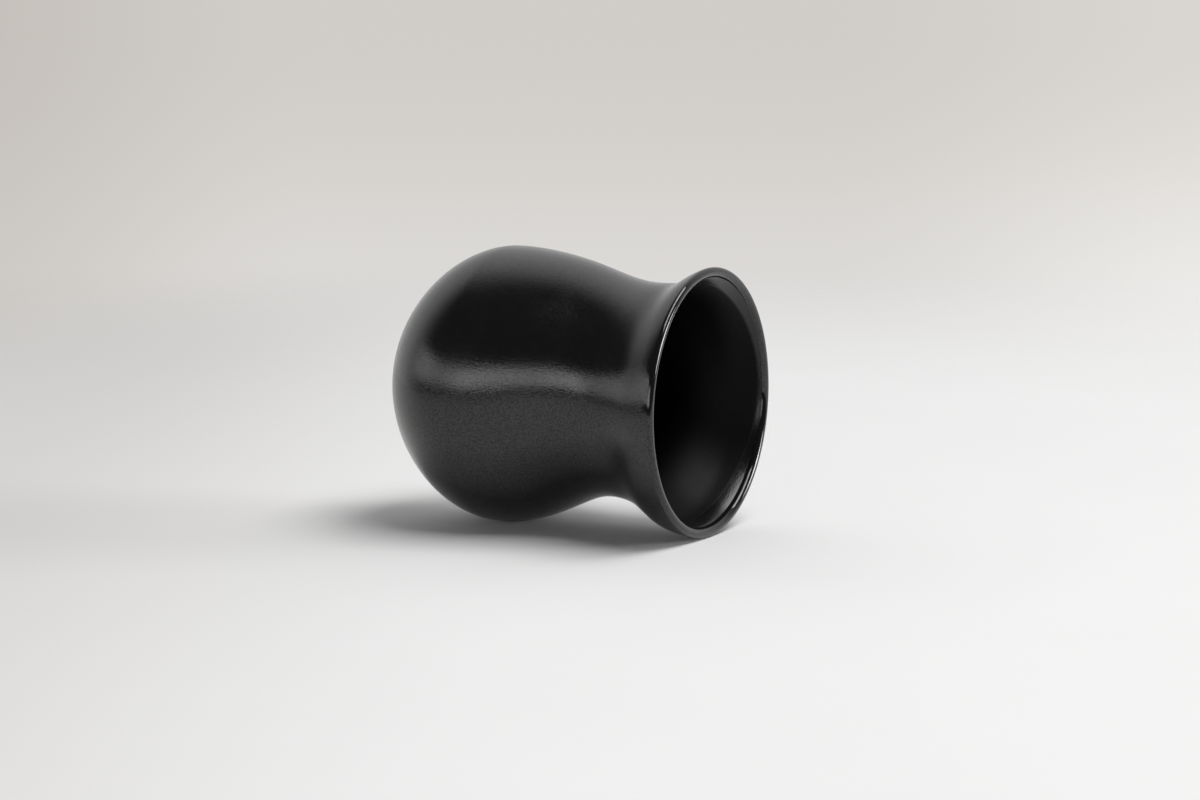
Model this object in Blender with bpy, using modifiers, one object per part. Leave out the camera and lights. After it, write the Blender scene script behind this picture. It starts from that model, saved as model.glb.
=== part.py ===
"""Tasting cup of satin black stoneware, lying on its side on its belly and its lip.

The clay body, the glaze outside, the liner glaze inside and the disc of glaze under the base are separate
solids that nest with a small clearance. Each is worked out upright about the cup's own Z axis, with the foot
at zero, and turned there. An empty then lays the cup down along +X, so that belly and lip touch the floor.
"""
from math import atan2, cos, pi, radians, sin, tan

import bpy
import numpy as np

MM = 0.001

# Finished outside of the cup: heights are above the foot, pulls are the lengths of the curve's handles
BELLY_RADIUS = 37.0 * MM
BELLY_HEIGHT = 27.6 * MM
NECK_RADIUS = 28.8 * MM
NECK_HEIGHT = 65.0 * MM
LIP_RADIUS = 35.25 * MM
LIP_HEIGHT = 86.25 * MM
FOOT_RADIUS = 15.5 * MM
BOWL_POWER = 1.8
BELLY_PULL = 17.9 * MM
SHOULDER_PULL = 12.5 * MM
NECK_PULL = 10.0 * MM
LIP_PULL = 8.5 * MM
LIP_FLARE = radians(14)

# Left out of true by hand: the waist stands off the axis towards the side that lies uppermost, the flare towards
# the side that lies underneath, and the lip leans, so that it reaches further from the foot underneath
WAIST_SHIFT = 2.2 * MM
WAIST_SHIFT_HEIGHT = 56.6 * MM
WAIST_SHIFT_SPREAD = 14.5 * MM
FLARE_SHIFT = 1.5 * MM
FLARE_SHIFT_HEIGHT = 78.6 * MM
FLARE_SHIFT_SPREAD = 5.2 * MM
LIP_LEAN = radians(1.2)

# Wall, with the glaze on both sides: the lip is rounder inside than outside, and the throat starts off steeply
LIP_THICKNESS = 2.6 * MM
LIP_INNER_ROUND = 1.5 * MM
THROAT_SLOPE = radians(13)
THROAT_LEAVING = 0.45
THROAT_ARRIVING = 0.3
NECK_THICKNESS = 2.6 * MM
WALL_THICKNESS = 3.8 * MM
FLOOR_THICKNESS = 5.6 * MM
INSIDE_POWER = 2.0

# Glaze coats and the bare foot
COAT = 0.4 * MM
CLEARANCE = 0.15 * MM
GLAZE_LINE = 0.5 * MM
RECESS_RADIUS = 11.5 * MM
RECESS_DEPTH = 1.4 * MM
RECESS_SLOPE = 0.6 * MM

# Fineness of the curves
STEPS = 36
FLARE_POINTS = 7
SHOULDER_POINTS = 9
BOWL_POINTS = 10
LIP_POINTS = 4
MERGE_DISTANCE = 0.00001

# Worked out from the sizes above
BEDDING = COAT + CLEARANCE
LIP_OUTER_ROUND = LIP_THICKNESS - LIP_INNER_ROUND
LIP_OUTWARD = np.array((cos(LIP_FLARE), -sin(LIP_FLARE)))
LIP_UPWARD = np.array((sin(LIP_FLARE), cos(LIP_FLARE)))
LIP_OUTER_EDGE = np.array((LIP_RADIUS, LIP_HEIGHT))
LIP_INNER_EDGE = LIP_OUTER_EDGE - LIP_THICKNESS * LIP_OUTWARD + (LIP_OUTER_ROUND - LIP_INNER_ROUND) * LIP_UPWARD
BOWL_DEPTH = BELLY_HEIGHT / (1 - (FOOT_RADIUS / BELLY_RADIUS) ** BOWL_POWER) ** (1 / BOWL_POWER)


def clear_scene():
    """Start from an empty scene."""
    for item in list(bpy.data.objects):
        bpy.data.objects.remove(item, do_unlink=True)


def bezier(start, leave, arrive, end, count):
    """Points of a cubic Bezier curve in radius and height."""
    start, leave, arrive, end = (np.array(point) for point in (start, leave, arrive, end))
    u = np.linspace(0, 1, count)[:, None]
    v = 1 - u
    return v ** 3 * start + 3 * v ** 2 * u * leave + 3 * v * u ** 2 * arrive + u ** 3 * end


def oval(radius, depth, power, lowest, count):
    """Points of a quarter oval that hangs from the belly, from the widest place down to a height."""
    reach = ((BELLY_HEIGHT - lowest) / depth) ** (power / 2)
    turn = np.linspace(0, np.arcsin(min(reach, 1.0)), count)
    return np.stack((radius * np.cos(turn) ** (2 / power),
                     BELLY_HEIGHT - depth * np.sin(turn) ** (2 / power)), axis=1)


def normals(points):
    """Unit normals of an outline that runs downwards, pointing away from the axis."""
    along = np.gradient(points, axis=0)
    across = np.stack((-along[:, 1], along[:, 0]), axis=1)
    return across / np.linalg.norm(across, axis=1)[:, None]


def outside():
    """Finished outside from the lip's outer edge down to the glaze line above the foot."""
    flare = bezier(LIP_OUTER_EDGE, LIP_OUTER_EDGE - LIP_PULL * LIP_UPWARD, (NECK_RADIUS, NECK_HEIGHT + NECK_PULL),
                   (NECK_RADIUS, NECK_HEIGHT), FLARE_POINTS)
    shoulder = bezier((NECK_RADIUS, NECK_HEIGHT), (NECK_RADIUS, NECK_HEIGHT - SHOULDER_PULL),
                      (BELLY_RADIUS, BELLY_HEIGHT + BELLY_PULL), (BELLY_RADIUS, BELLY_HEIGHT), SHOULDER_POINTS)
    bowl = oval(BELLY_RADIUS, BOWL_DEPTH, BOWL_POWER, GLAZE_LINE, BOWL_POINTS)
    return np.vstack((flare, shoulder[1:], bowl[1:]))


def inside():
    """Finished inside from the lip's inner edge down to the middle of the floor."""
    run = LIP_INNER_EDGE[1] - NECK_HEIGHT
    leaving = THROAT_LEAVING * run * np.array((sin(THROAT_SLOPE), cos(THROAT_SLOPE)))
    throat_radius = NECK_RADIUS - NECK_THICKNESS
    arriving = (throat_radius, NECK_HEIGHT + THROAT_ARRIVING * run)
    throat = bezier(LIP_INNER_EDGE, LIP_INNER_EDGE - leaving, arriving, (throat_radius, NECK_HEIGHT), FLARE_POINTS)
    belly_radius = BELLY_RADIUS - WALL_THICKNESS
    shoulder = bezier((throat_radius, NECK_HEIGHT), (throat_radius, NECK_HEIGHT - SHOULDER_PULL),
                      (belly_radius, BELLY_HEIGHT + BELLY_PULL), (belly_radius, BELLY_HEIGHT), SHOULDER_POINTS)
    bowl = oval(belly_radius, BELLY_HEIGHT - FLOOR_THICKNESS, INSIDE_POWER, FLOOR_THICKNESS, BOWL_POINTS)
    return np.vstack((throat, shoulder[1:], bowl[1:]))


def lip_arc(depth):
    """The lip at a depth under its finished face, from its inner edge over both rounds to its outer edge."""
    turn = np.linspace(0, pi / 2, LIP_POINTS)[:, None]
    inner = (LIP_INNER_ROUND - depth) * (np.sin(turn) * LIP_UPWARD - np.cos(turn) * LIP_OUTWARD)
    outer = (LIP_OUTER_ROUND - depth) * (np.cos(turn) * LIP_UPWARD + np.sin(turn) * LIP_OUTWARD)
    return np.vstack((LIP_INNER_EDGE + LIP_INNER_ROUND * LIP_OUTWARD + inner,
                      LIP_OUTER_EDGE - LIP_OUTER_ROUND * LIP_OUTWARD + outer[1:]))


def moved_out(points, distance):
    """An outline moved away from the axis side, with its end kept on the axis if it lies there."""
    facing = normals(points)
    facing[0] = LIP_OUTWARD
    moved = points + distance * facing
    if points[-1][0] < MERGE_DISTANCE:
        moved[-1] = (0, points[-1][1] - distance)
    return moved


def clay_outline():
    """The clay from the middle of its floor up the inside, over the lip, down the outside and under the foot."""
    inner = moved_out(inside(), BEDDING)
    outer = moved_out(outside(), -BEDDING)
    lip = lip_arc(BEDDING)
    foot = ((FOOT_RADIUS, 0), (RECESS_RADIUS, 0), (RECESS_RADIUS - RECESS_SLOPE, RECESS_DEPTH), (0, RECESS_DEPTH))
    return np.vstack((inner[:0:-1], lip, outer[1:], foot))


def outer_glaze_outline():
    """The coat over the lip and the outside, closed round the clay's thickness at both ends."""
    face = np.vstack((lip_arc(0), outside()[1:]))
    back = np.vstack((lip_arc(COAT), moved_out(outside(), -COAT)[1:]))
    return np.vstack((face, back[::-1]))


def inner_glaze_outline():
    """The liner from the middle of the floor up to the seam with the outer coat, and back down its outer side."""
    face = inside()
    back = moved_out(face, COAT)
    face[0] -= CLEARANCE * LIP_UPWARD
    back[0] -= CLEARANCE * LIP_UPWARD
    return np.vstack((face[::-1], back))


def base_glaze_outline():
    """The disc of glaze in the recess under the base, a coat thick and rounded at its edge."""
    top = RECESS_DEPTH - CLEARANCE
    edge = RECESS_RADIUS - RECESS_SLOPE - CLEARANCE
    turn = np.linspace(pi / 2, -pi / 2, LIP_POINTS)
    rim = np.stack((edge - COAT / 2 + COAT / 2 * np.cos(turn), top - COAT / 2 + COAT / 2 * np.sin(turn)), axis=1)
    return np.vstack(((0, top), rim, (0, top - COAT)))


def out_of_true(x, height):
    """Where a point of the turned shape ends up with waist and flare off the axis and the lip leaning."""
    waist = WAIST_SHIFT * np.exp(-((height - WAIST_SHIFT_HEIGHT) / WAIST_SHIFT_SPREAD) ** 2)
    flare = FLARE_SHIFT * np.exp(-((height - FLARE_SHIFT_HEIGHT) / FLARE_SHIFT_SPREAD) ** 2)
    rise = np.clip((height - NECK_HEIGHT) / (LIP_HEIGHT - NECK_HEIGHT), 0, 1)
    return x - waist + flare, height + tan(LIP_LEAN) * x * rise ** 2 * (3 - 2 * rise)


def lying_pose():
    """Tilt and place of the cup's axis that bring a facet of the belly and of the lip to the floor."""
    radii, heights = np.vstack((lip_arc(0), outside()[1:], ((FOOT_RADIUS, 0),))).T
    under, under_heights = out_of_true(radii * cos(pi / STEPS), heights)
    over, over_heights = out_of_true(-radii * cos(pi / STEPS), heights)
    above_neck = heights > NECK_HEIGHT
    tilt = 0.0
    for _ in range(8):
        drop = under * cos(tilt) + under_heights * sin(tilt)
        lip = np.argmax(np.where(above_neck, drop, -1))
        belly = np.argmax(np.where(above_neck, -1, drop))
        tilt = atan2(under[belly] - under[lip], under_heights[lip] - under_heights[belly])
    along = np.concatenate((under_heights * cos(tilt) - under * sin(tilt),
                            over_heights * cos(tilt) - over * sin(tilt)))
    return tilt, (-(along.max() + along.min()) / 2, 0, drop.max())


def turned(name, outline, closed):
    """Turn an outline about the cup's axis, with a facet towards +X, and leave it out of true."""
    count = len(outline)
    edges = [(i, i + 1) for i in range(count - 1)]
    if closed:
        edges.append((count - 1, 0))
    profile = bpy.data.meshes.new(name + "_profile")
    profile.from_pydata([(radius, 0, height) for radius, height in outline], edges, [])
    blank = bpy.data.objects.new(name + "_blank", profile)
    bpy.context.scene.collection.objects.link(blank)
    screw = blank.modifiers.new("turning", "SCREW")
    screw.axis = "Z"
    screw.steps = STEPS
    screw.render_steps = STEPS
    screw.use_merge_vertices = True
    screw.merge_threshold = MERGE_DISTANCE
    mesh = bpy.data.meshes.new_from_object(blank.evaluated_get(bpy.context.evaluated_depsgraph_get()))
    bpy.data.objects.remove(blank, do_unlink=True)
    half_step = pi / STEPS
    for vertex in mesh.vertices:
        x, y, z = vertex.co
        vertex.co.x, vertex.co.z = out_of_true(x * cos(half_step) - y * sin(half_step), z)
        vertex.co.y = x * sin(half_step) + y * cos(half_step)
    mesh.name = name
    mesh.shade_smooth()
    mesh.set_sharp_from_angle(angle=radians(50))
    return mesh


def material(name, colour, roughness):
    """A plain ceramic surface."""
    surface = bpy.data.materials.new(name)
    surface.use_nodes = True
    shader = surface.node_tree.nodes["Principled BSDF"]
    shader.inputs["Base Color"].default_value = (*colour, 1)
    shader.inputs["Roughness"].default_value = roughness
    shader.inputs["Metallic"].default_value = 0
    return surface


def add_piece(collection, parent, mesh, surface):
    """Place a piece of the cup in its collection, carried by the empty that lays the cup down."""
    piece = bpy.data.objects.new(mesh.name, mesh)
    piece.data.materials.append(surface)
    piece.parent = parent
    collection.objects.link(piece)


def build():
    """The whole cup."""
    clear_scene()
    collection = bpy.data.collections.new("tasting_cup")
    bpy.context.scene.collection.children.link(collection)
    cup_axis = bpy.data.objects.new("cup_axis", None)
    collection.objects.link(cup_axis)
    tilt, place = lying_pose()
    cup_axis.location = place
    cup_axis.rotation_euler = (0, pi / 2 + tilt, 0)

    stoneware = material("stoneware", (0.26, 0.20, 0.15), 0.85)
    satin_black = material("satin_black_glaze", (0.006, 0.006, 0.0065), 0.24)
    liner_black = material("liner_black_glaze", (0.0045, 0.0045, 0.005), 0.26)
    base_black = material("base_black_glaze", (0.006, 0.006, 0.0065), 0.28)
    add_piece(collection, cup_axis, turned("clay_body", clay_outline(), False), stoneware)
    add_piece(collection, cup_axis, turned("outer_glaze", outer_glaze_outline(), True), satin_black)
    add_piece(collection, cup_axis, turned("inner_glaze", inner_glaze_outline(), False), liner_black)
    add_piece(collection, cup_axis, turned("base_glaze", base_glaze_outline(), False), base_black)


build()
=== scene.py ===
"""Studio picture of the satin black tasting cup, lying on its side on pale paper."""
from math import atan2, cos, pi, radians, sin, tan

import bpy
import numpy as np
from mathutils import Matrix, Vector


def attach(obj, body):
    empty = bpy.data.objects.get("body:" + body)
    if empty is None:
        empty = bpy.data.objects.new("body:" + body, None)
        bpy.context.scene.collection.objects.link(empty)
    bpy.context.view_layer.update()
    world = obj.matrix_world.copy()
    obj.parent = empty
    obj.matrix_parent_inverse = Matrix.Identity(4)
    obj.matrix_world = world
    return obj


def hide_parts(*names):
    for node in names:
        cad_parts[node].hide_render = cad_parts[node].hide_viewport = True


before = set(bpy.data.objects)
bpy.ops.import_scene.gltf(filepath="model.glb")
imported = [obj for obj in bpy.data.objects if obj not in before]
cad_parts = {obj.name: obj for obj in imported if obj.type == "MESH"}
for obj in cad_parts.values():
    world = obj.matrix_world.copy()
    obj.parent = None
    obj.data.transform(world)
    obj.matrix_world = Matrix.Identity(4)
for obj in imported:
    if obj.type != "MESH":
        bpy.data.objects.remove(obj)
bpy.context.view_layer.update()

MM = 0.001

# Finished outside of the cup: heights are above the foot, pulls are the lengths of the curve's handles
BELLY_RADIUS = 37.0 * MM
BELLY_HEIGHT = 27.6 * MM
NECK_RADIUS = 28.8 * MM
NECK_HEIGHT = 65.0 * MM
LIP_RADIUS = 35.25 * MM
LIP_HEIGHT = 86.25 * MM
FOOT_RADIUS = 15.5 * MM
BOWL_POWER = 1.8
BELLY_PULL = 17.9 * MM
SHOULDER_PULL = 12.5 * MM
NECK_PULL = 10.0 * MM
LIP_PULL = 8.5 * MM
LIP_FLARE = radians(14)

# Out of true: the waist stands off the axis to the upper side, the flare to the lower side, and the lip leans
WAIST_SHIFT = 2.2 * MM
WAIST_SHIFT_HEIGHT = 56.6 * MM
WAIST_SHIFT_SPREAD = 14.5 * MM
FLARE_SHIFT = 1.5 * MM
FLARE_SHIFT_HEIGHT = 78.6 * MM
FLARE_SHIFT_SPREAD = 5.2 * MM
LIP_LEAN = radians(1.2)

# Wall, with the glaze on both sides: the throat's two handles are shares of the height from neck to lip
LIP_THICKNESS = 2.6 * MM
LIP_INNER_ROUND = 1.5 * MM
THROAT_SLOPE = radians(13)
THROAT_LEAVING = 0.45
THROAT_ARRIVING = 0.3
NECK_THICKNESS = 2.6 * MM
WALL_THICKNESS = 3.8 * MM
FLOOR_THICKNESS = 5.6 * MM
INSIDE_POWER = 2.0

# Glaze coats and the bare foot
COAT = 0.4 * MM
CLEARANCE = 0.15 * MM
SEAM = 0.01 * MM
GLAZE_LINE = 0.5 * MM
RECESS_RADIUS = 11.5 * MM
RECESS_DEPTH = 1.4 * MM
RECESS_SLOPE = 0.6 * MM

# Fineness of the finished surfaces, and rounds of working out how the cup lies
STEPS = 288
FLARE_POINTS = 40
SHOULDER_POINTS = 48
BOWL_POINTS = 56
LIP_POINTS = 16
MERGE_DISTANCE = 0.002 * MM
SHARP_ANGLE = radians(35)
POSE_ROUNDS = 8

# Worked out from the sizes above
BEDDING = COAT + CLEARANCE
LIP_OUTER_ROUND = LIP_THICKNESS - LIP_INNER_ROUND
LIP_OUTWARD = np.array((cos(LIP_FLARE), -sin(LIP_FLARE)))
LIP_UPWARD = np.array((sin(LIP_FLARE), cos(LIP_FLARE)))
LIP_OUTER_EDGE = np.array((LIP_RADIUS, LIP_HEIGHT))
LIP_EDGE_RISE = LIP_OUTER_ROUND - LIP_INNER_ROUND
LIP_INNER_EDGE = LIP_OUTER_EDGE - LIP_THICKNESS * LIP_OUTWARD + LIP_EDGE_RISE * LIP_UPWARD
BOWL_DEPTH = BELLY_HEIGHT / (1 - (FOOT_RADIUS / BELLY_RADIUS) ** BOWL_POWER) ** (1 / BOWL_POWER)

# Colours of the cup and the paper, as linear red, green and blue
GLAZE_COLOUR = (0.0055, 0.0055, 0.006)
LINER_COLOUR = (0.004, 0.004, 0.0045)
SPECK_COLOUR = (0.16, 0.15, 0.14)
CLAY_DARK = (0.20, 0.145, 0.10)
CLAY_LIGHT = (0.31, 0.245, 0.19)
GROG_COLOUR = (0.10, 0.07, 0.05)
PAPER_DARK = (0.895, 0.892, 0.89)
PAPER_LIGHT = (0.93, 0.928, 0.926)
# Paper colour with painted shade: darker on the left, where less light falls
PAPER_PAINTED_SHADE = (0.775, 0.76, 0.75)

# Colours of the background high up and low down, on the left, in the middle and on the right
HIGH_LEFT = (0.555, 0.525, 0.49)
HIGH_MIDDLE = (0.635, 0.61, 0.575)
HIGH_RIGHT = (0.70, 0.67, 0.635)
LOW_LEFT = (0.62, 0.595, 0.565)
LOW_MIDDLE = (0.73, 0.715, 0.70)
LOW_RIGHT = (0.88, 0.87, 0.855)

# Noise patterns: scale in waves to the metre, and levels of finer detail
GRAIN = (2100.0, 2.0)
CLOUD = (95.0, 3.0)
THROWING = (42.0, 1.0)
CLAY_CLOUD = (160.0, 4.0)
GROG = (1400.0, 2.0)
GRIT = (2200.0, 2.0)
PAPER_MOTTLE = (9.0, 3.0)
PAPER_TOOTH = (900.0, 2.0)

# Levels of noise between which a pattern goes from its lowest to its highest effect
NOISE_SPAN = (0.3, 0.7)
GROG_SPAN = (0.58, 0.66)

# Reliefs: depth and strength
GRAIN_RELIEF = (0.05 * MM, 0.8)
THROWING_RELIEF = (0.6 * MM, 0.06)
GRIT_RELIEF = (0.08 * MM, 0.6)
RING_RELIEF = (0.1 * MM, 0.35)
PAPER_RELIEF = (0.05 * MM, 0.2)

# Roughness of the surfaces, and how far the cloud and the grain in the glaze change it
OUTER_ROUGHNESS = 0.17
LINER_ROUGHNESS = 0.22
BASE_ROUGHNESS = 0.26
CLOUD_ROUGHNESS = 0.025
GRAIN_ROUGHNESS = 0.03
CLAY_ROUGHNESS = 0.88
PAPER_ROUGHNESS = 0.7

# Share by which the cloud in the glaze darkens and lightens its colour
CLOUD_SHADE = 0.25

# Gloss of the surfaces, as the shader's specular level, in which 0.5 is plain glass
SATIN_SPECULAR = 0.6
SATIN_SPARKLE = 0.16
LINER_SPECULAR = 0.5
PAPER_SPECULAR = 0.0

# Pale specks: cells to the metre, where a speck fades out in its cell, and the share of cells with one
SPECK_SCALE = 330.0
SPECK_EDGE = (0.05, 0.09)
OUTER_SPECKS = 0.035
LINER_SPECKS = 0.02
BASE_SPECKS = 0.02

# Trimming rings on the bare clay
RINGS = {"Scale": 420.0, "Distortion": 1.5, "Detail": 1.0}

# Gloss over the lip: how far down it fades out, and the shares of roughness and relief that are left there
LIP_GLOSS_DEPTH = 2.5 * MM
LIP_ROUGHNESS_SHARE = 0.35
LIP_RELIEF_SHARE = 0.05

# Dull inside of the liner: where it starts under the lip, and how it differs from the satin glaze
DULL_EDGE_DEPTH = 0.2 * MM
DULL_EDGE_WIDTH = 1.2 * MM
DULL_EDGE_SAG = 5.0 * MM
DULL_ROUGHNESS = 0.26
DULL_SPECULAR = 0.12

# Shading that opens the throat near the lip: depth, rise on the upper and lower side, span in lip radii
EASING_DEPTH = 6.0 * MM
EASING_RISE_OVER = 3.0 * MM
EASING_RISE_UNDER = 1.5 * MM
EASING_SPAN = (-0.5, 0.5)

# Spans in metres over which the paper fades out all round and in front, and gets lighter from its painted
# shade on the left
PAPER_FADE = (0.28, 0.85)
PAPER_FRONT_FADE = (0.33, 0.52)
PAPER_SHADE_SPAN = (-0.18, 0.0)

# Windows: direction from the cup, distance and size in metres, and radiance, where lit paper is about 1
CUP_MIDDLE = Vector((0.0, 0.0, 0.037))
WINDOW = {"azimuth": radians(68), "elevation": radians(66), "distance": 1.8,
          "width": 1.45, "height": 0.85, "radiance": 5.7}
LOW_WINDOW = {"azimuth": radians(88), "elevation": radians(10), "distance": 3.3,
              "width": 1.26, "height": 0.75, "radiance": 17.0}

# Strip and card that the glaze reflects: radiance, direction, and angles where they start to fade and end
STRIP_LIGHT = 2.4
STRIP_AZIMUTH = radians(-28)
STRIP_FADE = radians(8)
STRIP_END = radians(32)
CARD_LIGHT = 1.3
CARD_AZIMUTH = radians(-76)
CARD_FADE = radians(18)
CARD_END = radians(46)

# Room and the backdrop behind the cup: colour of their light, and radiance, with the backdrop's at its top
ROOM_COLOUR = (1, 1, 1, 1)
ROOM_LIGHT = 0.06
BACKDROP_AZIMUTH = radians(175)
BACKDROP_LIGHT = 0.64
BACKDROP_TOP = 0.80

# Changes in the studio, as how far a direction reaches backwards, upwards or to the right
BACKDROP_EDGE = (0.05, 0.6)
BACKDROP_RISE = (0.35, 0.8)
BAND_BOTTOM = (0.01, 0.05)
BAND_TOP = (0.26, 0.34)
LEFT_CHANGE = (-0.22, -0.09)
RIGHT_CHANGE = (0.07, 0.22)
LOW_CHANGE = (-0.12, -0.01)

# Camera, fitted to the photograph for a guessed lens: lens and frame width are in millimetres
CAMERA_AZIMUTH = radians(28.02)
CAMERA_ELEVATION = radians(7.6)
CAMERA_DISTANCE = 0.7975
CAMERA_TARGET = Vector((0.00867, 0.004, 0.03348))
CAMERA_LENS = 90.0
CAMERA_FRAME = 36.0
TO_THE_RIGHT = radians(90)

# Sockets of a mix of two colours, by number, because other kinds of mix use the same names
MIX_COLOURS = (6, 7)
MIX_RESULT = 2


def bezier(start, leave, arrive, end, count):
    """Points of a cubic Bezier curve in radius and height."""
    start, leave, arrive, end = (np.array(point) for point in (start, leave, arrive, end))
    u = np.linspace(0, 1, count)[:, None]
    v = 1 - u
    return v ** 3 * start + 3 * v ** 2 * u * leave + 3 * v * u ** 2 * arrive + u ** 3 * end


def oval(radius, depth, power, lowest, count):
    """Points of a quarter oval that hangs from the belly, from the widest place down to a height."""
    reach = ((BELLY_HEIGHT - lowest) / depth) ** (power / 2)
    turn = np.linspace(0, np.arcsin(min(reach, 1.0)), count)
    return np.stack((radius * np.cos(turn) ** (2 / power),
                     BELLY_HEIGHT - depth * np.sin(turn) ** (2 / power)), axis=1)


def normals(points):
    """Unit normals of an outline that runs downwards, pointing away from the axis."""
    run = np.gradient(points, axis=0)
    across = np.stack((-run[:, 1], run[:, 0]), axis=1)
    return across / np.linalg.norm(across, axis=1)[:, None]


def shoulder(neck_radius, belly_radius):
    """The double curve from the neck down to the widest place of the belly."""
    return bezier((neck_radius, NECK_HEIGHT), (neck_radius, NECK_HEIGHT - SHOULDER_PULL),
                  (belly_radius, BELLY_HEIGHT + BELLY_PULL), (belly_radius, BELLY_HEIGHT), SHOULDER_POINTS)


def outside():
    """Finished outside from the lip's outer edge down to the glaze line above the foot."""
    flare = bezier(LIP_OUTER_EDGE, LIP_OUTER_EDGE - LIP_PULL * LIP_UPWARD,
                   (NECK_RADIUS, NECK_HEIGHT + NECK_PULL), (NECK_RADIUS, NECK_HEIGHT), FLARE_POINTS)
    bowl = oval(BELLY_RADIUS, BOWL_DEPTH, BOWL_POWER, GLAZE_LINE, BOWL_POINTS)
    return np.vstack((flare, shoulder(NECK_RADIUS, BELLY_RADIUS)[1:], bowl[1:]))


def inside():
    """Finished inside from the lip's inner edge down to the middle of the floor."""
    run = LIP_INNER_EDGE[1] - NECK_HEIGHT
    leaving = THROAT_LEAVING * run * np.array((sin(THROAT_SLOPE), cos(THROAT_SLOPE)))
    throat_radius = NECK_RADIUS - NECK_THICKNESS
    arriving = (throat_radius, NECK_HEIGHT + THROAT_ARRIVING * run)
    throat = bezier(LIP_INNER_EDGE, LIP_INNER_EDGE - leaving,
                    arriving, (throat_radius, NECK_HEIGHT), FLARE_POINTS)
    belly_radius = BELLY_RADIUS - WALL_THICKNESS
    bowl = oval(belly_radius, BELLY_HEIGHT - FLOOR_THICKNESS, INSIDE_POWER, FLOOR_THICKNESS, BOWL_POINTS)
    return np.vstack((throat, shoulder(throat_radius, belly_radius)[1:], bowl[1:]))


def lip_arc(depth):
    """The lip at a depth under its finished face, from the inner edge over both rounds to the outer edge."""
    turn = np.linspace(0, pi / 2, LIP_POINTS)[:, None]
    inner = (LIP_INNER_ROUND - depth) * (np.sin(turn) * LIP_UPWARD - np.cos(turn) * LIP_OUTWARD)
    outer = (LIP_OUTER_ROUND - depth) * (np.cos(turn) * LIP_UPWARD + np.sin(turn) * LIP_OUTWARD)
    return np.vstack((LIP_INNER_EDGE + LIP_INNER_ROUND * LIP_OUTWARD + inner,
                      LIP_OUTER_EDGE - LIP_OUTER_ROUND * LIP_OUTWARD + outer[1:]))


def moved_out(points, distance):
    """An outline moved away from the axis, with its end kept on the axis if it lies there."""
    facing = normals(points)
    facing[0] = LIP_OUTWARD
    moved = points + distance * facing
    if points[-1][0] < MERGE_DISTANCE:
        moved[-1] = (0, points[-1][1] - distance)
    return moved


def clay_outline():
    """The clay from its floor's middle up the inside, over the lip, down the outside and under the foot."""
    inner = moved_out(inside(), BEDDING)
    outer = moved_out(outside(), -BEDDING)
    recess_top = RECESS_RADIUS - RECESS_SLOPE
    foot = ((FOOT_RADIUS, 0), (RECESS_RADIUS, 0), (recess_top, RECESS_DEPTH), (0, RECESS_DEPTH))
    return np.vstack((inner[:0:-1], lip_arc(BEDDING), outer[1:], foot))


def outer_glaze_outline():
    """The coat over the lip and the outside: down its face and back up its other side."""
    face = np.vstack((lip_arc(0), outside()[1:]))
    back = np.vstack((lip_arc(COAT), moved_out(outside(), -COAT)[1:]))
    return np.vstack((face, back[::-1]))


def inner_glaze_outline():
    """The liner from the middle of the floor up to the seam under the lip, and back down its other side."""
    face = inside()
    back = moved_out(face, COAT)
    face[0] -= SEAM * LIP_UPWARD
    back[0] -= CLEARANCE * LIP_UPWARD
    return np.vstack((face[::-1], back))


def base_glaze_outline():
    """The disc of glaze in the recess under the base, a coat thick and rounded at its edge."""
    top = RECESS_DEPTH - CLEARANCE
    edge = RECESS_RADIUS - RECESS_SLOPE - CLEARANCE
    half = COAT / 2
    turn = np.linspace(pi / 2, -pi / 2, LIP_POINTS)
    rim = np.stack((edge - half + half * np.cos(turn), top - half + half * np.sin(turn)), axis=1)
    return np.vstack(((0, top), rim, (0, top - COAT)))


def out_of_true(x, height):
    """Where a point of the turned shape ends up with waist and flare off the axis and the lip leaning."""
    waist = WAIST_SHIFT * np.exp(-((height - WAIST_SHIFT_HEIGHT) / WAIST_SHIFT_SPREAD) ** 2)
    flare = FLARE_SHIFT * np.exp(-((height - FLARE_SHIFT_HEIGHT) / FLARE_SHIFT_SPREAD) ** 2)
    rise = np.clip((height - NECK_HEIGHT) / (LIP_HEIGHT - NECK_HEIGHT), 0, 1)
    return x - waist + flare, height + tan(LIP_LEAN) * x * rise ** 2 * (3 - 2 * rise)


def lying_pose():
    """Tilt and place of the cup's axis that bring the belly and the lip to the floor."""
    radii, heights = np.vstack((lip_arc(0), outside()[1:], ((FOOT_RADIUS, 0),))).T
    under, under_heights = out_of_true(radii, heights)
    over, over_heights = out_of_true(-radii, heights)
    above_neck = heights > NECK_HEIGHT
    tilt = 0.0
    for _ in range(POSE_ROUNDS):
        drop = under * cos(tilt) + under_heights * sin(tilt)
        lip = np.argmax(np.where(above_neck, drop, -1))
        belly = np.argmax(np.where(above_neck, -1, drop))
        tilt = atan2(under[belly] - under[lip], under_heights[lip] - under_heights[belly])
    reach = np.concatenate((under_heights * cos(tilt) - under * sin(tilt),
                            over_heights * cos(tilt) - over * sin(tilt)))
    return tilt, (-(reach.max() + reach.min()) / 2, 0, drop.max())


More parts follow.
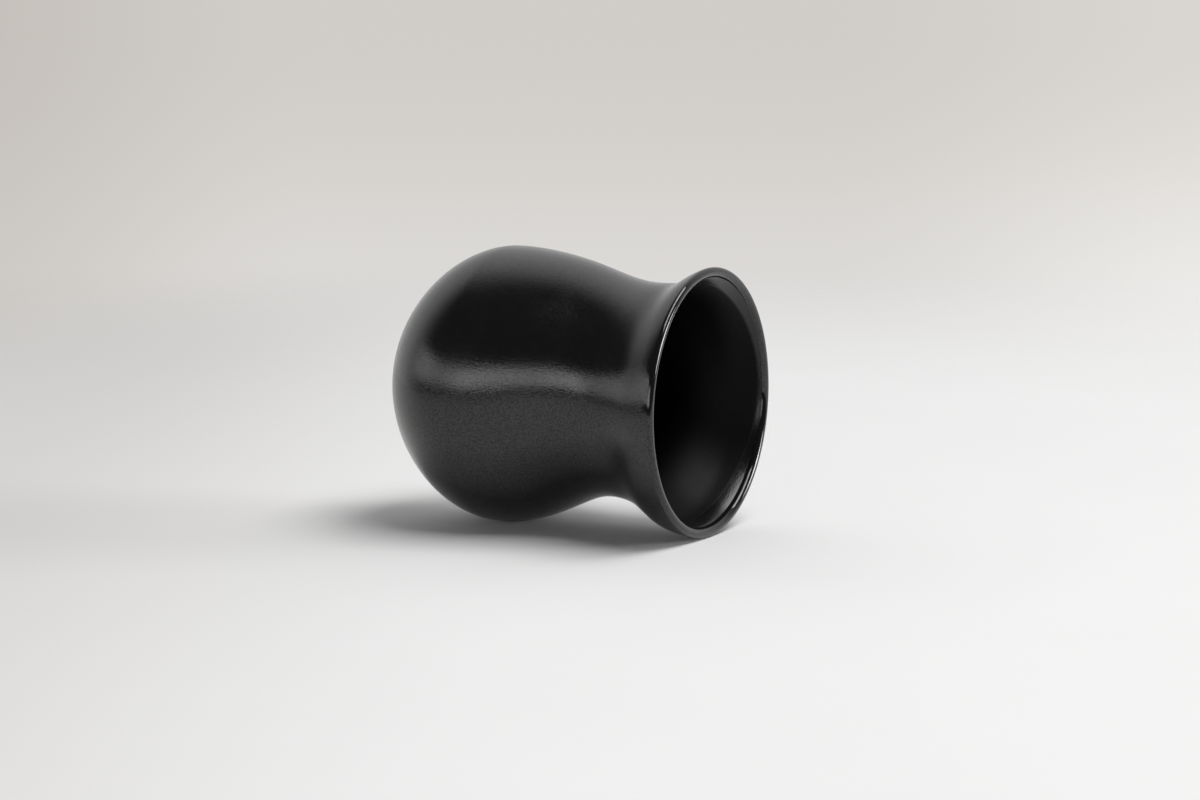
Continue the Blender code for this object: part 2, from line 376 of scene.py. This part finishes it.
def turned(name, outline, closed):
    """Turn an outline finely about the cup's axis and leave it out of true."""
    count = len(outline)
    edges = [(i, i + 1) for i in range(count - 1)]
    if closed:
        edges.append((count - 1, 0))
    profile = bpy.data.meshes.new(name + "_profile")
    profile.from_pydata([(radius, 0, height) for radius, height in outline], edges, [])
    blank = bpy.data.objects.new(name + "_blank", profile)
    bpy.context.scene.collection.objects.link(blank)
    screw = blank.modifiers.new("turning", "SCREW")
    screw.axis = "Z"
    screw.steps = STEPS
    screw.render_steps = STEPS
    screw.use_merge_vertices = True
    screw.merge_threshold = MERGE_DISTANCE
    mesh = bpy.data.meshes.new_from_object(blank.evaluated_get(bpy.context.evaluated_depsgraph_get()))
    bpy.data.objects.remove(blank, do_unlink=True)
    points = np.empty(len(mesh.vertices) * 3)
    mesh.vertices.foreach_get("co", points)
    points = points.reshape(-1, 3)
    points[:, 0], points[:, 2] = out_of_true(points[:, 0], points[:, 2])
    mesh.vertices.foreach_set("co", points.ravel())
    mesh.name = name
    mesh.shade_smooth()
    mesh.set_sharp_from_angle(angle=SHARP_ANGLE)
    return mesh


def shader_of(name):
    """A new material with its node tree and its Principled shader."""
    surface = bpy.data.materials.new(name)
    surface.use_nodes = True
    return surface, surface.node_tree, surface.node_tree.nodes["Principled BSDF"]


def add_node(tree, kind, values=None, links=None):
    """A node with values on some of its sockets and other nodes' outputs on others."""
    node = tree.nodes.new(kind)
    for socket, value in (values or {}).items():
        node.inputs[socket].default_value = value
    for socket, output in (links or {}).items():
        tree.links.new(output, node.inputs[socket])
    return node


def own_place(tree):
    """A point's place in its piece's own coordinates."""
    return tree.nodes.new("ShaderNodeTexCoord").outputs["Object"]


def split(tree, vector):
    """The X, Y and Z of a vector."""
    return add_node(tree, "ShaderNodeSeparateXYZ", links={0: vector}).outputs


def calculated(tree, operation, first, second):
    """The output of a calculation with two values, each a number or another node's output."""
    node = tree.nodes.new("ShaderNodeMath")
    node.operation = operation
    for socket, value in zip(node.inputs, (first, second)):
        if isinstance(value, bpy.types.NodeSocket):
            tree.links.new(value, socket)
        else:
            socket.default_value = value
    return node.outputs[0]


def eased(tree, value, low, high, start=0.0, end=1.0):
    """A value that changes smoothly from start to end while another goes from low to high."""
    limits = {"From Min": low, "From Max": high, "To Min": start, "To Max": end}
    node = add_node(tree, "ShaderNodeMapRange", limits, {"Value": value})
    node.interpolation_type = "SMOOTHSTEP"
    return node.outputs["Result"]


def noise(tree, place, scale, detail):
    """Noise over a place, with its scale in waves to the metre."""
    values = {"Scale": scale, "Detail": detail}
    return add_node(tree, "ShaderNodeTexNoise", values, {"Vector": place}).outputs["Fac"]


def swung(tree, pattern, middle, swing):
    """A value that swings to both sides of a middle as a noise pattern does."""
    return eased(tree, pattern, *NOISE_SPAN, middle - swing, middle + swing)


def mixed(tree, share, first, second):
    """The output of a mix of two colours, each a colour or another node's output."""
    node = tree.nodes.new("ShaderNodeMix")
    node.data_type = "RGBA"
    tree.links.new(share, node.inputs["Factor"])
    for index, value in zip(MIX_COLOURS, (first, second)):
        if isinstance(value, bpy.types.NodeSocket):
            tree.links.new(value, node.inputs[index])
        else:
            node.inputs[index].default_value = (*value, 1)
    return node.outputs[MIX_RESULT]


def bumped(tree, height, depth=1.0, strength=1.0, under=None):
    """The normal of a surface with a relief, whose depth is left at 1 for a height in metres."""
    links = {"Height": height}
    if under is not None:
        links["Normal"] = under
    values = {"Distance": depth, "Strength": strength}
    return add_node(tree, "ShaderNodeBump", values, links).outputs["Normal"]


def satin_glaze(name, colour, roughness, specks):
    """Satin black glaze: fine grain, a little unevenness from the throwing, and a few pale specks."""
    surface, tree, shader = shader_of(name)
    place = own_place(tree)
    grain = noise(tree, place, *GRAIN)
    cloud = noise(tree, place, *CLOUD)
    cells = add_node(tree, "ShaderNodeTexVoronoi", {"Scale": SPECK_SCALE}, {"Vector": place})
    near = eased(tree, cells.outputs["Distance"], *SPECK_EDGE, 1.0, 0.0)
    lot = add_node(tree, "ShaderNodeSeparateColor", links={"Color": cells.outputs["Color"]}).outputs[0]
    speck = calculated(tree, "MULTIPLY", near, calculated(tree, "LESS_THAN", lot, specks))
    darker = [(1 - CLOUD_SHADE) * part for part in colour]
    lighter = [(1 + CLOUD_SHADE) * part for part in colour]
    shade = mixed(tree, cloud, darker, lighter)
    tree.links.new(mixed(tree, speck, shade, SPECK_COLOUR), shader.inputs["Base Color"])
    satin = calculated(tree, "ADD", swung(tree, cloud, roughness, CLOUD_ROUGHNESS),
                       swung(tree, grain, 0.0, GRAIN_ROUGHNESS))
    tree.links.new(satin, shader.inputs["Roughness"])
    sheen = swung(tree, grain, SATIN_SPECULAR, SATIN_SPARKLE)
    tree.links.new(sheen, shader.inputs["Specular IOR Level"])
    uneven = bumped(tree, noise(tree, place, *THROWING), *THROWING_RELIEF)
    tree.links.new(bumped(tree, grain, *GRAIN_RELIEF, uneven), shader.inputs["Normal"])
    return surface


def lip_glaze():
    """Outer glaze: satin, and drawn thin and glossy over the lip."""
    surface = satin_glaze("satin_black", GLAZE_COLOUR, OUTER_ROUGHNESS, OUTER_SPECKS)
    tree = surface.node_tree
    shader = tree.nodes["Principled BSDF"]
    height = split(tree, own_place(tree))["Z"]
    start = LIP_HEIGHT - LIP_GLOSS_DEPTH
    satin = shader.inputs["Roughness"].links[0].from_socket
    glossier = eased(tree, height, start, LIP_HEIGHT, 1.0, LIP_ROUGHNESS_SHARE)
    tree.links.new(calculated(tree, "MULTIPLY", satin, glossier), shader.inputs["Roughness"])
    relief = shader.inputs["Normal"].links[0].from_node.inputs["Strength"]
    full = relief.default_value
    tree.links.new(eased(tree, height, start, LIP_HEIGHT, full, full * LIP_RELIEF_SHARE), relief)
    return surface


def liner_glaze():
    """Liner glaze: satin next to the lip, and dull and rougher further in, up to a sagging edge."""
    surface = satin_glaze("liner_black", LINER_COLOUR, LINER_ROUGHNESS, LINER_SPECKS)
    tree = surface.node_tree
    shader = tree.nodes["Principled BSDF"]
    place = split(tree, own_place(tree))
    below = calculated(tree, "DIVIDE", place["X"], LIP_RADIUS)
    upright = calculated(tree, "MULTIPLY", below, below)
    level = calculated(tree, "ADD", place["Z"], calculated(tree, "MULTIPLY", upright, DULL_EDGE_SAG))
    low = LIP_HEIGHT - DULL_EDGE_DEPTH - DULL_EDGE_WIDTH
    high = low + DULL_EDGE_WIDTH
    satin = shader.inputs["Roughness"].links[0].from_socket
    rougher = eased(tree, level, low, high, DULL_ROUGHNESS, 0.0)
    tree.links.new(calculated(tree, "ADD", satin, rougher), shader.inputs["Roughness"])
    sheen = eased(tree, level, low, high, DULL_SPECULAR, LINER_SPECULAR)
    tree.links.new(sheen, shader.inputs["Specular IOR Level"])
    limits = {"From Min": LIP_HEIGHT - EASING_DEPTH, "From Max": LIP_HEIGHT}
    near_lip = add_node(tree, "ShaderNodeMapRange", limits, {"Value": place["Z"]}).outputs["Result"]
    rise = eased(tree, below, *EASING_SPAN, -EASING_RISE_OVER, -EASING_RISE_UNDER)
    easing = calculated(tree, "MULTIPLY", calculated(tree, "MULTIPLY", near_lip, near_lip),
                        calculated(tree, "MULTIPLY", upright, rise))
    grain = shader.inputs["Normal"].links[0].from_socket
    tree.links.new(bumped(tree, easing, under=grain), shader.inputs["Normal"])
    return surface


def base_glaze():
    """Glaze in the recess under the base: satin, and a little rougher than outside."""
    return satin_glaze("base_black", GLAZE_COLOUR, BASE_ROUGHNESS, BASE_SPECKS)


def bare_clay():
    """Bare stoneware of the foot ring: grog specks, a warm clay colour and fine trimming rings."""
    surface, tree, shader = shader_of("bare_stoneware")
    place = own_place(tree)
    clay = mixed(tree, noise(tree, place, *CLAY_CLOUD), CLAY_DARK, CLAY_LIGHT)
    grog = eased(tree, noise(tree, place, *GROG), *GROG_SPAN)
    tree.links.new(mixed(tree, grog, clay, GROG_COLOUR), shader.inputs["Base Color"])
    shader.inputs["Roughness"].default_value = CLAY_ROUGHNESS
    rings = add_node(tree, "ShaderNodeTexWave", RINGS, {"Vector": place})
    rings.wave_type = "RINGS"
    rings.rings_direction = "Z"
    grit = bumped(tree, noise(tree, place, *GRIT), *GRIT_RELIEF)
    tree.links.new(bumped(tree, rings.outputs["Fac"], *RING_RELIEF, grit), shader.inputs["Normal"])
    return surface


def toward(azimuth, elevation=0.0):
    """A direction from the cup, with its azimuth counted from the camera's to the right."""
    turn = CAMERA_AZIMUTH + azimuth
    return Vector((sin(turn) * cos(elevation), -cos(turn) * cos(elevation), sin(elevation)))


def along(tree, vector, direction):
    """How far a vector reaches in a direction."""
    node = add_node(tree, "ShaderNodeVectorMath", {1: direction}, {0: vector})
    node.operation = "DOT_PRODUCT"
    return node.outputs["Value"]


def table_paper():
    """Pale paper under the cup, darker to the left with painted shade, and fading out with distance so that
    it has no edge.
    """
    surface, tree, shader = shader_of("pale_paper")
    place = own_place(tree)
    mottle = mixed(tree, noise(tree, place, *PAPER_MOTTLE), PAPER_DARK, PAPER_LIGHT)
    # Painted shade: the paper's colour darkens towards the left, away from the windows
    painted_shade = eased(tree, along(tree, place, toward(TO_THE_RIGHT)), *PAPER_SHADE_SPAN)
    tree.links.new(mixed(tree, painted_shade, PAPER_PAINTED_SHADE, mottle), shader.inputs["Base Color"])
    shader.inputs["Roughness"].default_value = PAPER_ROUGHNESS
    shader.inputs["Specular IOR Level"].default_value = PAPER_SPECULAR
    tooth = bumped(tree, noise(tree, place, *PAPER_TOOTH), *PAPER_RELIEF)
    tree.links.new(tooth, shader.inputs["Normal"])
    reach = add_node(tree, "ShaderNodeVectorMath", links={0: place})
    reach.operation = "LENGTH"
    front = eased(tree, along(tree, place, toward(0)), *PAPER_FRONT_FADE, 1.0, 0.0)
    far = eased(tree, reach.outputs["Value"], *PAPER_FADE, 1.0, 0.0)
    tree.links.new(calculated(tree, "MULTIPLY", front, far), shader.inputs["Alpha"])
    return surface


def studio_light(tree, direction, height):
    """Radiance of a dim room with a backdrop behind the cup and a band of strip and card in front of it."""
    backward = along(tree, direction, toward(BACKDROP_AZIMUTH))
    backdrop = calculated(tree, "MULTIPLY", eased(tree, backward, *BACKDROP_EDGE),
                          eased(tree, height, *BACKDROP_RISE, BACKDROP_LIGHT, BACKDROP_TOP))
    strip = eased(tree, along(tree, direction, toward(STRIP_AZIMUTH)),
                  cos(STRIP_END), cos(STRIP_FADE), 0.0, STRIP_LIGHT)
    card = eased(tree, along(tree, direction, toward(CARD_AZIMUTH)),
                 cos(CARD_END), cos(CARD_FADE), 0.0, CARD_LIGHT)
    level = calculated(tree, "MULTIPLY", eased(tree, height, *BAND_BOTTOM),
                       eased(tree, height, *BAND_TOP, 1.0, 0.0))
    band = calculated(tree, "MULTIPLY", level, calculated(tree, "ADD", strip, card))
    return calculated(tree, "ADD", calculated(tree, "ADD", backdrop, band), ROOM_LIGHT)


def background_tint(tree, direction, height):
    """Colour of the background behind the cup: darker to the left and higher up."""
    across = along(tree, direction, toward(TO_THE_RIGHT))
    left = eased(tree, across, *LEFT_CHANGE)
    right = eased(tree, across, *RIGHT_CHANGE)
    low = mixed(tree, right, mixed(tree, left, LOW_LEFT, LOW_MIDDLE), LOW_RIGHT)
    high = mixed(tree, right, mixed(tree, left, HIGH_LEFT, HIGH_MIDDLE), HIGH_RIGHT)
    return mixed(tree, eased(tree, height, *LOW_CHANGE), low, high)


def studio_world():
    """The studio that lights the cup, and the pale background that the camera sees instead."""
    world = bpy.data.worlds.new("studio")
    bpy.context.scene.world = world
    world.use_nodes = True
    tree = world.node_tree
    direction = tree.nodes.new("ShaderNodeTexCoord").outputs["Generated"]
    height = split(tree, direction)["Z"]
    pale = tree.nodes["Background"]
    tree.links.new(background_tint(tree, direction, height), pale.inputs["Color"])
    pale.inputs["Strength"].default_value = 1.0
    studio = tree.nodes.new("ShaderNodeBackground")
    studio.inputs["Color"].default_value = ROOM_COLOUR
    tree.links.new(studio_light(tree, direction, height), studio.inputs["Strength"])
    path = tree.nodes.new("ShaderNodeLightPath")
    choice = tree.nodes.new("ShaderNodeMixShader")
    tree.links.new(path.outputs["Is Camera Ray"], choice.inputs[0])
    tree.links.new(studio.outputs[0], choice.inputs[1])
    tree.links.new(pale.outputs[0], choice.inputs[2])
    tree.links.new(choice.outputs[0], tree.nodes["World Output"].inputs["Surface"])


def add_lamp(name, azimuth, elevation, distance, width, height, radiance):
    """A rectangular soft light that faces the cup from a direction counted from the camera's."""
    light = bpy.data.lights.new(name, "AREA")
    light.shape = "RECTANGLE"
    light.size = width
    light.size_y = height
    light.energy = radiance * pi * width * height
    lamp = bpy.data.objects.new(name, light)
    lamp.location = CUP_MIDDLE + distance * toward(azimuth, elevation)
    lamp.rotation_euler = toward(azimuth, elevation).to_track_quat("Z", "Y").to_euler()
    bpy.context.scene.collection.objects.link(lamp)


def add_piece(name, outline, closed, surface, node):
    """Put a finely turned piece in place of its node."""
    piece = bpy.data.objects.new(name, turned(name, outline, closed))
    piece.data.materials.append(surface)
    piece.location = cup_place
    piece.rotation_euler = (0, pi / 2 + cup_tilt, 0)
    bpy.context.scene.collection.objects.link(piece)
    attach(piece, "root")
    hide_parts(node)


def add_paper():
    """Lay a square of paper under the cup, as wide as it shows."""
    half = PAPER_FADE[1]
    mesh = bpy.data.meshes.new("paper")
    corners = [(-half, -half, 0), (half, -half, 0), (half, half, 0), (-half, half, 0)]
    mesh.from_pydata(corners, [], [(0, 1, 2, 3)])
    paper = bpy.data.objects.new("paper", mesh)
    paper.data.materials.append(table_paper())
    bpy.context.scene.collection.objects.link(paper)


def add_camera():
    """Set up the camera that was fitted to the photograph."""
    camera_data = bpy.data.cameras.new("photo_camera")
    camera_data.sensor_width = CAMERA_FRAME
    camera_data.lens = CAMERA_LENS
    camera = bpy.data.objects.new("photo_camera", camera_data)
    camera.location = CAMERA_TARGET + CAMERA_DISTANCE * toward(0, CAMERA_ELEVATION)
    camera.rotation_euler = toward(0, CAMERA_ELEVATION).to_track_quat("Z", "Y").to_euler()
    bpy.context.scene.collection.objects.link(camera)
    bpy.context.scene.camera = camera


cup_tilt, cup_place = lying_pose()
add_piece("stoneware_body", clay_outline(), False, bare_clay(), "clay_body")
add_piece("satin_coat", outer_glaze_outline(), True, lip_glaze(), "outer_glaze")
add_piece("liner_coat", inner_glaze_outline(), False, liner_glaze(), "inner_glaze")
add_piece("base_coat", base_glaze_outline(), False, base_glaze(), "base_glaze")
add_paper()
studio_world()
add_lamp("window", **WINDOW)
add_lamp("low_window", **LOW_WINDOW)
add_camera()
bpy.context.scene.view_settings.view_transform = "Standard"
